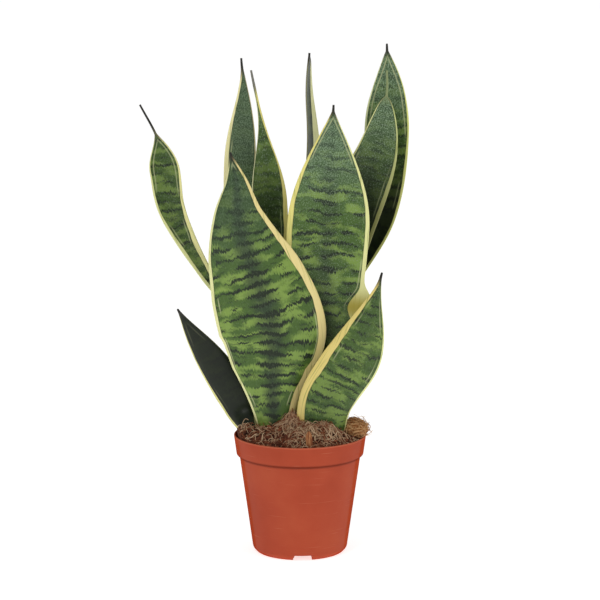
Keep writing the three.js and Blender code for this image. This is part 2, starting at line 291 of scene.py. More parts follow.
def flareReach(leaf, height, rightward):
    # a fold of the leaf's right edge that stands out a little at one height
    at, spread, reach = leaf.get("flare", (0, 1, 0))
    return reach * np.exp(-((height - at) / spread) ** 2) * (rightward > 0)


def makeLeaf(name, leaf):
    rows, around = leafShape["rows"], leafShape["around"]
    fine = np.linspace(0, 1, 2001)
    path = catmull(leaf["spine"], fine)
    run = np.concatenate([[0], np.cumsum(np.linalg.norm(np.diff(path, axis=0), axis=1))])
    length = run[-1]
    s = 1 - (1 - np.linspace(0, 1, rows + 1)) ** leafShape["crowding"]
    s *= 1 - leafShape["inset"] / length
    t = np.interp(s * length, run, fine)
    place = catmull(leaf["spine"], t)
    ahead = np.gradient(catmull(leaf["spine"], fine), axis=0)
    ahead = np.stack([np.interp(t, fine, ahead[:, k]) for k in range(3)], axis=1)
    ahead /= np.linalg.norm(ahead, axis=1)[:, None]
    front = np.array([0.0, -1.0, 0.0])
    n = front - (ahead @ front)[:, None] * ahead
    n /= np.linalg.norm(n, axis=1)[:, None]
    b = np.cross(ahead, n)
    turn = np.radians(np.interp(s, [0, 0.5, 1], leaf["turn"]))[:, None]
    hollow = n * np.cos(turn) + b * np.sin(turn)
    sideways = np.cross(ahead, hollow)
    bend = np.radians(np.interp(s, [0, 0.35, 1], leaf["hollow"])) / 2
    thick = np.interp(s, [0, 0.5, 1], leafShape["thickness"]) / 2
    verts, across, edge, along, tipward, sideOf = [], [], [], [], [], []
    # a flat ring round each place of the spine, bent about the hollow's own centre
    for k in range(around):
        angle = 2 * math.pi * k / around
        u, depth = math.cos(angle), math.sin(angle)
        plain = leafWidths(leaf, s, length) - leafShape["inset"] * np.clip(10 * (1 - s), 0, 1)
        half = plain + flareReach(leaf, place[:, 2], sideways[:, 0] * u)
        radius = half / bend
        lens = abs(depth) ** leafShape["lens"] * math.copysign(1, depth)
        reach = radius - thick * lens
        wave = leafShape["edgeWave"] * abs(u) ** 3
        wave = wave * np.sin(s * length / leafShape["waveLength"] + leaf["seed"] + u)
        wave = wave * np.clip((1 - s) * 4, 0, 1) * np.clip(half / 20, 0, 1)
        v = place + sideways * (reach * np.sin(bend * u))[:, None]
        v = v + hollow * (radius - reach * np.cos(bend * u) + wave)[:, None]
        verts.append(v)
        across.append(half * u)
        edge.append(plain - half * abs(u))
        along.append(s * length)
        tipward.append((1 - s) * length)
        sideOf.append(np.full(rows + 1, u))
    verts = np.array(verts).reshape(-1, 3)
    obj = newObject(name, verts * mm + potAxis, stripFaces(around, rows + 1))
    for key, values in (("across", across), ("edge", edge), ("along", along), ("tipward", tipward),
                        ("side", sideOf)):
        addValues(obj, key, np.array(values).reshape(-1))
    return obj


def leafMaterial(name, leaf):
    # living snake-plant leaf, waxy skin: jagged dark cross-bands on mid green, cream-yellow margin
    material, tree = newMaterial(name)
    look, bands = leafShape, leafBands
    read = {key: readValue(tree, key) for key in ("across", "edge", "along", "tipward", "side")}
    color = {key: hexLinear(value) for key, value in look.items() if str(value).startswith("#")}
    put = partial(addNode, tree)
    smooth = "MapRange SMOOTHSTEP"

    def pattern(kind, along=read["along"]):
        # noise in the leaf's own millimetres
        acrossScale, alongScale, offset, detail = leafPatterns[kind]
        x = put("Math MULTIPLY", read["across"], 1 / acrossScale)
        y = put("Math MULTIPLY", along, 1 / alongScale)
        spot = put("CombineXYZ", x, y, leaf["seed"] + offset)
        return put("TexNoise", Vector=spot, Scale=1.0, Detail=detail, Roughness=0.6)

    def swing(value, key):
        # noise spread evenly about nought
        return put("Math MULTIPLY_ADD", value, bands[key], -bands[key] / 2)

    # band edges are jagged because each fine column of the leaf sits a little higher or lower
    offset = put("Math ADD", swing(pattern("jag"), "jag"), swing(pattern("sway"), "sway"))
    shifted = put("Math ADD", read["along"], offset)
    drift = put("Math MULTIPLY", pattern("drift"), bands["drift"])
    turns = 2 * math.pi / leaf["period"]
    band = put("Math SINE", put("Math MULTIPLY_ADD", shifted, turns, drift))
    fineBand = put("Math SINE", put("Math MULTIPLY_ADD", shifted, bands["fineRatio"] * turns, drift))
    patch = swing(pattern("patch", shifted), "patch")
    finePatch = swing(pattern("finePatch", shifted), "finePatch")
    flecks = pattern("flecks")
    streaks = pattern("streaks")
    grain = swing(flecks, "grain")

    # a darker, bluish column runs up the middle of the broad leaves: painted shade in the hollow along the
    # midrib
    sideways = put("Math ABSOLUTE", read["side"])
    ragged = put("Math ADD", sideways, put("Math MULTIPLY", patch, bands["columnRagged"]))
    shadeColumn = put("Math MULTIPLY", put(smooth, ragged, *bands["columnEdge"]), leaf["centre"])
    inShadeColumn = put("Math MULTIPLY_ADD", shadeColumn, bands["columnBands"], grain)
    broad = put("Math ADD", put("Math ADD", band, patch), inShadeColumn)
    narrow = put("Math ADD", put("Math ADD", fineBand, finePatch), grain)
    fineLines = put(smooth, narrow, *bands["fineEdge"], 0.0, bands["fineDepth"])
    dark = put("Math MAXIMUM", put(smooth, broad, *bands["broadEdge"]), fineLines)
    dark = put("Math MULTIPLY", dark, leaf["contrast"])
    lit = put("Math ADD", pattern("zone", shifted), put("Math MULTIPLY", grain, 0.12))
    bright = put("Math MULTIPLY", put(smooth, lit, *bands["paleEdge"]), leaf["contrast"])
    body = put("Mix RGBA", bright, color["mid"], color["bright"])
    body = put("Mix RGBA", put("Math MULTIPLY", shadeColumn, bands["columnDepth"]), body, color["shadeColumn"])
    body = put("Mix RGBA", dark, body, color["dark"])

    # waxy grey-green towards the tip, where the bands fade: partly the leaf's own colour, partly painted
    # sheen in its pale flecks
    dull = put(smooth, read["tipward"], leaf["dull"], leaf["dull"] * 0.25, 0.0, bands["dullDepth"])
    bloomAndSheen = put(smooth, flecks, 0.3, 0.7, 0.0, leaf["hazeAndSheen"])
    waxyAndSheen = put("Mix RGBA", bloomAndSheen, color["dullDark"], color["dullSheenLight"])
    waxyAndSheen = put("Mix RGBA", put("Math MULTIPLY", dark, 0.35), waxyAndSheen, color["dark"])
    body = put("Mix RGBA", dull, body, waxyAndSheen)
    spots = put("Math MULTIPLY", put(smooth, flecks, 0.52, 0.66), leaf["speckle"])
    body = put("Mix RGBA", spots, body, color["speck"])
    # fine veins lengthwise, then the painted shade of the leaves around it
    body = put("Mix RGBA", put("Math MULTIPLY_ADD", streaks, 1.1, -0.25), body, color["fibre"])
    body.blend_type = "SOFT_LIGHT"
    low, high, amount = leaf["shade"]
    deep = put(smooth, read["along"], high, low, 0.0, amount)
    body = put("Mix RGBA", deep, body, color["deepShade"])

    # cream margin, its own width on each side, waning towards the tip
    onRight = put(smooth, read["side"], -0.02, 0.02)
    width = put("Mix FLOAT", onRight, *leaf["edges"])
    nearTip, fromTip = leaf.get("wane", (leaf["point"], leaf["point"] + bands["waneOver"]))
    wane = put(smooth, read["tipward"], nearTip, fromTip, bands["bareTip"], 1.0)
    uneven = put("Math MULTIPLY_ADD", pattern("uneven"), 0.9, 0.55)
    width = put("Math MULTIPLY", width, put("Math MULTIPLY", wane, uneven))
    cream = put("Mix RGBA", onRight, hexLinear(leaf["creams"][0]), hexLinear(leaf["creams"][1]))
    cream = put("Mix RGBA", put("Math MULTIPLY", streaks, 0.5), cream, color["ivory"])
    threads = put(smooth, pattern("threads"), 0.55, 0.68, 0.0, 0.6)
    cream = put("Mix RGBA", threads, cream, color["streak"])
    drying = put(smooth, read["tipward"], leaf["point"] + bands["drying"], leaf["point"], 0.0, 0.75)
    cream = put("Mix RGBA", drying, cream, color["dryEdge"])
    if "flare" in leaf:
        # the fold is golden across its whole width: its cream margin darkened by painted shade
        at, spread, reach = leaf["flare"]
        offFold = put("Math ABSOLUTE", put("Math ADD", read["along"], footZ + spread - at))
        fold = put("Math MULTIPLY", put(smooth, offFold, spread * 2.2, 0.0), onRight)
        width = put("Math MULTIPLY_ADD", fold, reach, width)
        cream = put("Mix RGBA", put("Math MULTIPLY", fold, 0.85), cream, color["foldShadeGold"])
    shaded = put("Math MULTIPLY", deep, leaf.get("creamShading", bands["creamShading"]))
    cream = put("Mix RGBA", shaded, cream, color["creamShade"])
    inside = put("Math SUBTRACT", read["edge"], width)

    # pale lines run beside the margin, here and there
    gap = put("Math MULTIPLY_ADD", pattern("lineGap"), bands["lineReach"], -1.0)
    away = put("Math ABSOLUTE", put("Math SUBTRACT", inside, gap))
    here = put(smooth, pattern("lineHere"), 0.52, 0.6)
    inner = put("Math MULTIPLY", put(smooth, away, *bands["lineWidth"]), here)
    inner = put("Math MULTIPLY", inner, put("Math MULTIPLY_ADD", deep, -0.5, 0.6))
    skin = put("Mix RGBA", inner, body, color["line"])
    greenRim = put("Mix RGBA", 0.45, body, color["dark"])
    skin = put("Mix RGBA", put(smooth, inside, *bands["greenRim"]), skin, greenRim)
    skin = put("Mix RGBA", put(smooth, inside, *bands["creamEdge"]), skin, cream)
    onPoint = put(smooth, read["tipward"], leaf["point"] + 10, leaf["point"] * 0.7)
    skin = put("Mix RGBA", onPoint, skin, hexLinear(leaf["tip"]))

    swell = put("Math MULTIPLY", pattern("swell"), 0.5)
    ridges = put("Math ADD", put("Math MULTIPLY", streaks, 0.6), swell)
    bump = put("Bump", Strength=0.25, Distance=0.0007, Height=ridges)
    rough = put("Math MULTIPLY_ADD", flecks, 0.2, look["roughness"] - 0.1)
    shader = put("BsdfPrincipled", Base_Color=skin, Roughness=rough, Normal=bump, IOR=1.45,
                 Specular_IOR_Level=look["gloss"])
    finishMaterial(tree, shader)
    return material


for leafName, leaf in leaves.items():
    obj = makeLeaf(leafName + "_blade", leaf)
    obj.data.materials.append(leafMaterial("snake plant leaf waxy " + leafName[5:].replace("_", " "), leaf))
    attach(obj, "root")
    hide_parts(leafName)
print("stage: leaves grown")


potLook = {
    "rimRadius": 60.0, "rimHeight": 18.0, "rimTaper": 2.4, "rimStep": 2.6, "footRadius": 43.0,
    "wall": 1.5, "footHeight": 5.0, "footChamfer": 3.5, "notchTurn": 3.5, "notchCount": 3,
    "notchWidth": (17.5, 13.5), "drainRadius": 4.0, "drainCircle": 26.0, "drainHoles": 6,
    "color": "#ae462a", "deep": "#9d3a1f", "pale": "#bc5736", "scuff": "#c97a5c",
    "creaseShadow": "#5e1c08", "lip": "#cf7253", "ringWidth": 2.2, "lipTop": 1.6, "turns": 360,
    "roughness": 0.40, "gloss": 0.16,
}


def roundedCorner(points, index, radius, steps=4):
    # a short curve in place of one corner of an outline
    a, b, c = (Vector(points[k]) for k in (index - 1, index, (index + 1) % len(points)))
    one, two = (a - b).normalized(), (c - b).normalized()
    reach = min(radius, (a - b).length * 0.45, (c - b).length * 0.45)
    start, end = b + one * reach, b + two * reach
    out = []
    for k in range(steps + 1):
        t = k / steps
        out.append((1 - t) ** 2 * start + 2 * (1 - t) * t * b + t * t * end)
    return out


def drainHoles():
    # short pegs through the floor, used to cut the drain holes
    p = potLook
    verts, faces = [], []
    low, high, sides = p["footHeight"] - 2, p["footHeight"] + p["wall"] + 2, 24
    for n in range(p["drainHoles"]):
        turn = math.radians(p["notchTurn"] - 90 + n * 360 / p["drainHoles"])
        start = len(verts)
        for z in (low, high):
            for k in range(sides):
                a = 2 * math.pi * k / sides
                verts.append((p["drainCircle"] * math.cos(turn) + p["drainRadius"] * math.cos(a),
                              p["drainCircle"] * math.sin(turn) + p["drainRadius"] * math.sin(a), z))
        for k in range(sides):
            j = (k + 1) % sides
            faces.append((start + k, start + j, start + sides + j, start + sides + k))
        faces.append(tuple(start + k for k in reversed(range(sides))))
        faces.append(tuple(start + sides + k for k in range(sides)))
    return newObject("drain_pegs", np.array(verts) * mm + potAxis, faces)


def drill(obj, cutter):
    cut = obj.modifiers.new("drain", "BOOLEAN")
    cut.operation, cut.object, cut.solver = "DIFFERENCE", cutter, "EXACT"
    ready = obj.evaluated_get(bpy.context.evaluated_depsgraph_get())
    obj.data = bpy.data.meshes.new_from_object(ready)
    obj.modifiers.clear()
    bpy.data.objects.remove(cutter)


def makePot():
    p = potLook
    bandFoot = potHeight - p["rimHeight"]
    bandR = p["rimRadius"] - p["rimTaper"]
    wallR = bandR - p["rimStep"]
    ringR = p["footRadius"] - p["footChamfer"]
    ringIn = ringR - p["ringWidth"]
    floorTop = p["footHeight"] + p["wall"]
    # radius, height and rounding of each corner, from the ring's inside round to the floor
    corners = [
        (ringIn, p["footHeight"], 0.3), (ringIn, 0, 0.5), (ringR, 0, 0.9),
        (p["footRadius"] - 0.8, p["footChamfer"] - 0.6, 1.2), (p["footRadius"], p["footChamfer"] + 1, 0.8),
        (wallR, bandFoot - 1, 0.5), (bandR, bandFoot, 0.7), (p["rimRadius"], potHeight - 0.6, 0.5),
        (p["rimRadius"] - 0.4, potHeight, 0.3), (p["rimRadius"] - p["wall"] + 0.3, potHeight, 0.3),
        (p["rimRadius"] - p["wall"], potHeight - 1, 0.5), (bandR - p["wall"], bandFoot + 1.5, 0.5),
        (wallR - p["wall"], bandFoot - 1, 0.5), (p["footRadius"] - p["wall"], floorTop + 2, 1.2),
        (p["footRadius"] - p["wall"] - 2, floorTop, 0.8),
    ]
    outline = [Vector((r, z)) for r, z, _ in corners]
    profile = []
    for k, (_, _, radius) in enumerate(corners):
        if 0 < k < len(corners) - 1:
            profile += roundedCorner(outline, k, radius)
        else:
            profile.append(outline[k])
    turns = p["turns"]
    verts = []
    for k in range(turns):
        degrees = k * 360 / turns
        # how far the nearest notch's middle is, in degrees round the ring
        away = min(abs((degrees - n * 360 / p["notchCount"] + 180) % 360 - 180)
                   for n in range(p["notchCount"]))
        for r, z in profile:
            if z < p["footHeight"]:
                share = z / p["footHeight"]
                half = (p["notchWidth"][0] * (1 - share) + p["notchWidth"][1] * share) / 2
                cut = math.radians(away) * ringR < half
                z = p["footHeight"] if cut else z
            a = math.radians(degrees - 90.0 + p["notchTurn"])
            verts.append((r * math.cos(a), r * math.sin(a), z))
    obj = newObject("nursery_pot", np.array(verts) * mm + potAxis, stripFaces(turns, len(profile)))
    drill(obj, drainHoles())
    return obj


def potMaterial():
    # injection-moulded polypropylene, terracotta orange, satin: even colour, soft sheen, a few scuffs
    material, tree = newMaterial("polypropylene moulded terracotta satin")
    put = partial(addNode, tree)
    p = potLook
    place = put("TexCoord").outputs["Object"]
    cloud = put("TexNoise", Vector=place, Scale=26.0, Detail=3.0)
    grain = put("TexNoise", Vector=place, Scale=900.0, Detail=2.0)
    level = put("Mapping", Vector=place, Scale=(30.0, 30.0, 900.0))
    rings = put("TexNoise", Vector=level, Scale=1.0, Detail=2.0)
    ramp = put("ValToRGB", cloud)
    setRamp(ramp, [(0.3, hexLinear(p["deep"])), (0.5, hexLinear(p["color"])), (0.75, hexLinear(p["pale"]))])
    soft = put("Mix RGBA", 0.45, hexLinear(p["color"]), ramp)
    # a few thin level scuff lines where pots were stacked
    line = put("MapRange LINEAR", rings, 0.66, 0.76, 0.0, 0.35)
    scuffsShadowAndHighlight = put("Mix RGBA", line, soft, hexLinear(p["scuff"]))
    bump = put("Bump", Strength=0.12, Distance=0.0003, Height=put("Math ADD", grain, rings))
    rough = put("Math MULTIPLY_ADD", cloud, 0.12, p["roughness"] - 0.06)
    # painted shadow line in the step under the rim, and a painted highlight along the lip
    height = put("SeparateXYZ", place).outputs["Z"]
    step = (potHeight - p["rimHeight"]) * mm
    fromBelow = put("MapRange SMOOTHSTEP", height, step - 3.2 * mm, step - 1.0 * mm)
    fromAbove = put("MapRange SMOOTHSTEP", height, step + 1.6 * mm, step - 0.4 * mm)
    creaseShadow = put("Math MULTIPLY", put("Math MULTIPLY", fromBelow, fromAbove), 0.75)
    scuffsShadowAndHighlight = put("Mix RGBA", creaseShadow, scuffsShadowAndHighlight, hexLinear(p["creaseShadow"]))
    lip = put("MapRange SMOOTHSTEP", height, (potHeight - p["lipTop"]) * mm, (potHeight - 0.5) * mm, 0.0, 0.6)
    scuffsShadowAndHighlight = put("Mix RGBA", lip, scuffsShadowAndHighlight, hexLinear(p["lip"]))
    # the sheen is held back where the wall turns away, as on a matt moulded skin
    facing = put("LayerWeight", Blend=0.5).outputs["Facing"]
    gloss = put("MapRange LINEAR", facing, 0.2, 0.7, p["gloss"], 0.0)
    shader = put("BsdfPrincipled", Base_Color=scuffsShadowAndHighlight, Roughness=rough, Normal=bump, IOR=1.49,
                 Specular_IOR_Level=gloss)
    finishMaterial(tree, shader)
    return material


pot = makePot()
pot.data.materials.append(potMaterial())
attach(pot, "root")
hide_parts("pot")
print("stage: pot turned")


# profile: height of the potting mix at each distance from the middle; pile: extra height at the left
# wall; heaps: place, height and spread of loose fibre
soilLook = {
    "profile": [(0, 123), (22, 121.5), (38, 115.5), (50, 109), (57.3, 104)], "lumps": 1.4,
    "pile": 10.0, "heaps": [(-7, -17, 9, 7), (24, -30, 8, 10), (8, -34, 4, 10), (44, 22, 3, 9)],
    "pileFrom": 38, "pileFocus": 6, "turns": 200, "rings": 70,
    "crumbs": 1300, "crumbSize": (0.5, 2.2), "reach": 56.5,
    "fibres": 1500, "fibreLength": (5, 18), "fibreRadius": (0.16, 0.38),
    "fibreSpread": 55, "fibreLimit": 56.3,
    "dark": "#24120c", "color": "#623524", "pale": "#a5664a",
    "crumbDark": "#2a150e", "crumbColor": "#6d3d2a", "crumbPale": "#b0714f",
    "fibreDark": "#96502f", "fibrePale": "#ffdfb6",
}


def soilHeight(x, y):
    out = math.hypot(x, y)
    base = float(np.interp(out, *zip(*soilLook["profile"])))
    left = max(-x / (out + 1e-6), 0) ** soilLook["pileFocus"]
    base += soilLook["pile"] * left * min(max((out - soilLook["pileFrom"]) / 10, 0), 1)
    lump = noise.noise(Vector((x / 9, y / 9, 3.0))) + 0.6 * noise.noise(Vector((x / 3, y / 3, 9.0)))
    return base + lump * soilLook["lumps"]


def heapLift(x, y):
    # loose fibre is heaped up between the leaf feet
    return sum(tall * math.exp(-((x - cx) ** 2 + (y - cy) ** 2) / wide ** 2)
               for cx, cy, tall, wide in soilLook["heaps"])


def makeSoil():
    points, turns, rings = [], soilLook["turns"], soilLook["rings"]
    for i in range(rings):
        r = soilLook["profile"][-1][0] * (i + 1) / rings
        for k in range(turns):
            a = 2 * math.pi * k / turns
            x, y = r * math.cos(a), r * math.sin(a)
            grit = noise.noise(Vector((x / 1.1, y / 1.1, 20.0))) * 0.5
            points.append((x, y, soilHeight(x, y) + 0.5 * heapLift(x, y) + grit))
    p = potLook
    bandFoot = potHeight - p["rimHeight"]
    inFoot, onFloor = p["footRadius"] - p["wall"], p["footHeight"] + p["wall"]
    side = [(55.0, bandFoot + 2), (52.6, bandFoot - 2)]
    side += [(inFoot - 0.6, onFloor + 2.5), (inFoot - 2.5, onFloor + 0.4)]
    for r, z in side:
        for k in range(turns):
            a = 2 * math.pi * k / turns
            points.append((r * math.cos(a), r * math.sin(a), z))
    faces = ringFaces(rings + len(side), turns)
    return newObject("soil_mix", np.array(points) * mm + potAxis, faces)


def makeCrumbs(rng):
    # small uneven lumps, half sunk in the surface
    verts, faces, tones = [], [], []
    ball = bmesh.new()
    bmesh.ops.create_icosphere(ball, subdivisions=2, radius=1)
    base = [v.co.copy() for v in ball.verts]
    sides = [[v.index for v in f.verts] for f in ball.faces]
    ball.free()
    small, large = soilLook["crumbSize"]
    for n in range(soilLook["crumbs"]):
        r = soilLook["reach"] * math.sqrt(rng.random())
        a = rng.random() * 2 * math.pi
        x, y = r * math.cos(a), r * math.sin(a)
        z = soilHeight(x, y) + 0.5 * heapLift(x, y)
        size = small + (large - small) * rng.random() ** 2.5
        stretch = (1 + 0.5 * rng.random(), 0.8 + 0.3 * rng.random(), 0.6 + 0.3 * rng.random())
        spin = rng.random() * math.pi
        start, tone = len(verts), rng.random()
        for co in base:
            wobble = 1 + 0.3 * noise.noise(co * 1.7 + Vector((n, 0, 0)))
            px, py, pz = (co[i] * stretch[i] * wobble * size for i in range(3))
            verts.append((x + px * math.cos(spin) - py * math.sin(spin),
                          y + px * math.sin(spin) + py * math.cos(spin), z + pz + 0.25 * size))
            tones.append(tone)
        faces += [[start + i for i in f] for f in sides]
    obj = newObject("soil_crumbs", np.array(verts) * mm + potAxis, faces)
    addValues(obj, "tone", tones)
    return obj


def makeFibres(name, strands):
    # each strand is a thin four-sided tube with closed ends: (path, radius, tone)
    verts, faces, tones = [], [], []
    sides = 4
    for path, radius, tone in strands:
        path = np.asarray(path)
        ahead = np.gradient(path, axis=0)
        ahead /= np.linalg.norm(ahead, axis=1)[:, None] + 1e-9
        one = np.cross(ahead, np.array([0.1, 0.2, 1.0]))
        one /= np.linalg.norm(one, axis=1)[:, None] + 1e-9
        two = np.cross(ahead, one)
        start, count = len(verts), len(path)
        fromEnd = np.minimum(np.arange(count), count - 1 - np.arange(count))
        thin = radius * np.clip(fromEnd + 0.6, 0.6, 1.6) / 1.6
        for i in range(count):
            for k in range(sides):
                a = 2 * math.pi * k / sides
                verts.append(path[i] + thin[i] * (math.cos(a) * one[i] + math.sin(a) * two[i]))
        tones += [tone] * (count * sides)
        for i in range(count - 1):
            low, high = start + i * sides, start + (i + 1) * sides
            for k in range(sides):
                j = (k + 1) % sides
                faces.append((low + k, low + j, high + j, high + k))
        faces.append(tuple(start + k for k in reversed(range(sides))))
        faces.append(tuple(start + (count - 1) * sides + k for k in range(sides)))
    obj = newObject(name, np.array(verts) * mm + potAxis, faces)
    addValues(obj, "tone", tones)
    return obj


def soilStrands(rng):
    strands = []
    heaps = soilLook["heaps"]
    short, long = soilLook["fibreLength"]
    for n in range(soilLook["fibres"]):
        # one fibre in three lies on a heap, the others anywhere on the soil
        if n % 3 == 0:
            cx, cy, tall, wide = heaps[n // 3 % len(heaps)]
            x, y = rng.gauss(cx, wide * 0.8), rng.gauss(cy, wide * 0.6)
        else:
            r, a = soilLook["fibreSpread"] * math.sqrt(rng.random()), rng.random() * 2 * math.pi
            x, y = r * math.cos(a), r * math.sin(a)
        heading, bend = rng.random() * 2 * math.pi, rng.uniform(-0.35, 0.35)
        length = short + (long - short) * rng.random()
        arch = 0.3 + 4.0 * rng.random() ** 2.5
        depth = rng.random() ** 0.6
        tilt = rng.uniform(-1, 1) * 1.2
        steps, path = 9, []
        for i in range(steps):
            inside = min(1.0, soilLook["fibreLimit"] / max(1e-6, math.hypot(x, y)))
            x, y = x * inside, y * inside
            lift = arch * math.sin(math.pi * i / (steps - 1)) + tilt * (i / (steps - 1) - 0.5)
            path.append((x, y, soilHeight(x, y) + heapLift(x, y) * (0.45 + 0.6 * depth) + 0.3 + lift))
            x += length / steps * math.cos(heading)
            y += length / steps * math.sin(heading)
            heading += bend
        strands.append((path, rng.uniform(*soilLook["fibreRadius"]), rng.random() ** 1.1))
    return strands


def fibreMaterial(name, low, high):
    # dry coconut fibre: matt tan strands, each a little different
    material, tree = newMaterial(name)
    put = partial(addNode, tree)
    place = put("TexCoord").outputs["Object"]
    grain = put("TexNoise", Vector=place, Scale=700.0, Detail=2.0)
    mixed = put("Mix RGBA", readValue(tree, "tone"), hexLinear(low), hexLinear(high))
    shaded = put("Mix RGBA", 0.35, mixed, grain)
    shaded.blend_type = "MULTIPLY"
    finishMaterial(tree, put("BsdfPrincipled", Base_Color=shaded, Roughness=0.85, Specular_IOR_Level=0.05))
    return material


def mixMaterial(name, dark, color, pale, bumpSize=0.0012):
    # moist peat and fine coir: dark red-brown, matt and crumbly
    material, tree = newMaterial(name)
    put = partial(addNode, tree)
    place = put("TexCoord").outputs["Object"]
    coarse = put("TexNoise", Vector=place, Scale=190.0, Detail=5.0, Roughness=0.7)
    fine = put("TexVoronoi", Vector=place, Scale=620.0)
    ramp = put("ValToRGB", coarse)
    setRamp(ramp, [(0.34, hexLinear(dark)), (0.5, hexLinear(color)), (0.66, hexLinear(pale))])
    bump = put("Bump", Strength=0.8, Distance=bumpSize, Height=put("Math ADD", coarse, fine))
    finishMaterial(tree, put("BsdfPrincipled", Base_Color=ramp, Roughness=0.92, Normal=bump,
                             Specular_IOR_Level=0.2))
    return material


rng = random.Random(7)
soil = makeSoil()
soil.data.materials.append(mixMaterial("peat and coir potting mix moist", soilLook["dark"],
                                       soilLook["color"], soilLook["pale"]))
crumbs = makeCrumbs(rng)
crumbs.data.materials.append(mixMaterial("peat crumbs moist", soilLook["crumbDark"],
                                         soilLook["crumbColor"], soilLook["crumbPale"], 0.0006))
fibres = makeFibres("soil_fibres", soilStrands(rng))
fibres.data.materials.append(fibreMaterial("coconut fibre dry", soilLook["fibreDark"], soilLook["fibrePale"]))
for obj in (soil, crumbs, fibres):
    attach(obj, "root")
    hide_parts("soil")
print("stage: soil filled")


clumpLook = {
    "place": (49.5, -4, 113.5), "size": (11.6, 15.6, 8.6), "fibres": 620,
    "dark": "#512a15", "color": "#b87340", "pale": "#e8ab72",
    "fibreDark": "#b06c3a", "fibrePale": "#ffd298",
}


def overLip(point):
    # nothing in the clump may sink into the pot's lip
    if math.hypot(point[0], point[1]) > potLook["rimRadius"] - potLook["wall"] - 1:
        point[2] = max(point[2], potHeight + 0.6)
    return point


def makeClump():
    # the matted core: a flattened ball with a lumpy skin
    centre, size = np.array(clumpLook["place"]), np.array(clumpLook["size"])
    rows, turns, points = 44, 64, []
    for i in range(rows + 1):
        for k in range(turns):
            lat, lon = math.pi * (i + 0.02) / (rows + 0.04), 2 * math.pi * k / turns
            way = np.array([math.sin(lat) * math.cos(lon), math.sin(lat) * math.sin(lon), math.cos(lat)])
            lump = 0.94 + 0.13 * noise.noise(Vector(way * 2.2)) + 0.08 * noise.noise(Vector(way * 6))
            lump += 0.05 * noise.noise(Vector(way * 19))
            points.append(overLip(centre + size * way * lump))
    return newObject("coir_clump_body", np.array(points) * mm + potAxis, ringFaces(rows + 1, turns))


def clumpStrands(rng):
    # fibres wound round the clump, a few of them springing loose
    centre, size = np.array(clumpLook["place"]), np.array(clumpLook["size"])
    strands = []
    for n in range(clumpLook["fibres"]):
        axis = np.array([rng.gauss(0, 1) for _ in range(3)])
        axis /= np.linalg.norm(axis)
        other = np.cross(axis, [rng.gauss(0, 1) for _ in range(3)])
        other /= np.linalg.norm(other)
        third = np.cross(axis, other)
        scale = rng.uniform(0.88, 1.04)
        start, sweep = rng.uniform(0, 2 * math.pi), rng.uniform(0.5, 1.9)
        loose = 0.5 * rng.random() ** 4
        path = []
        for i in range(10):
            t = start + sweep * i / 9
            out = scale + loose * (i / 9) ** 2
            point = centre + size * out * (math.cos(t) * other + math.sin(t) * third)
            path.append(overLip(point))
        strands.append((path, rng.uniform(0.13, 0.32), rng.random()))
    return strands


clump = makeClump()
clump.data.materials.append(mixMaterial("coconut fibre matted", clumpLook["dark"], clumpLook["color"],
                                        clumpLook["pale"]))
clumpFibres = makeFibres("coir_clump_fibres", clumpStrands(rng))
clumpFibres.data.materials.append(fibreMaterial("coconut fibre loose dry", clumpLook["fibreDark"],
                                                clumpLook["fibrePale"]))
for obj in (clump, clumpFibres):
    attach(obj, "root")
    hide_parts("coir_clump")
print("stage: coir clump laid")


# left and right give half-widths at each height up the chip
chipLook = {
    "place": (8, -51.5, 99), "tall": 23.0, "thick": 2.0, "lean": 0.024,
    "left": [(0, 3.8), (8, 2.8), (19, 3.1), (23, 0.5)], "right": [(0, 2.7), (9, 3.8), (20, 2.4), (23, 0.2)],
    "dark": "#6b3c24", "color": "#96603c", "pale": "#bd8a5c",
}


def makeChip():
    c = chipLook
    rows, columns, points, faces = 60, 16, [], []
    for face in (-1, 1):
        for i in range(rows + 1):
            z = c["tall"] * i / rows
            left = -float(np.interp(z, *zip(*c["left"])))
            right = float(np.interp(z, *zip(*c["right"])))
            for k in range(columns + 1):
                share = k / columns
                x = left + (right - left) * share + 0.25 * noise.noise(Vector((z / 1.3, share * 3, 4.0)))
                ridge = 0.3 * noise.noise(Vector((x / 0.5, z / 6, face * 5.0)))
                bow = (1 - (2 * share - 1) ** 4) * 0.35 + 0.65
                y = face * (c["thick"] / 2 * bow) + ridge * bow
                points.append((x, y - z * c["lean"], z))
    layer = (rows + 1) * (columns + 1)
    wide = columns + 1
    for i in range(rows):
        for k in range(columns):
            a, b = i * wide + k, (i + 1) * wide + k
            faces.append((a, a + 1, b + 1, b))
            faces.append((layer + a, layer + b, layer + b + 1, layer + a + 1))
        low, high = i * wide, (i + 1) * wide
        faces.append((low, high, layer + high, layer + low))
        faces.append((low + columns, layer + low + columns, layer + high + columns, high + columns))
    for k in range(columns):
        top = rows * wide + k
        faces.append((k, layer + k, layer + k + 1, k + 1))
        faces.append((top, top + 1, layer + top + 1, layer + top))
    return newObject("bark_chip_flake", (np.array(points) + np.array(c["place"])) * mm + potAxis, faces)


def barkMaterial():
    # dry pine bark, broken: matt red-brown with paler grain running up the chip
    material, tree = newMaterial("pine bark broken dry")
    put = partial(addNode, tree)
    stretched = put("Mapping", Vector=put("TexCoord").outputs["Object"], Scale=(900.0, 900.0, 130.0))
    grain = put("TexNoise", Vector=stretched, Scale=1.0, Detail=4.0)
    ramp = put("ValToRGB", grain)
    setRamp(ramp, [(0.35, hexLinear(chipLook["dark"])), (0.5, hexLinear(chipLook["color"])),
                   (0.68, hexLinear(chipLook["pale"]))])
    bump = put("Bump", Strength=0.7, Distance=0.0006, Height=grain)
    finishMaterial(tree, put("BsdfPrincipled", Base_Color=ramp, Roughness=0.88, Normal=bump,
                             Specular_IOR_Level=0.2))
    return material


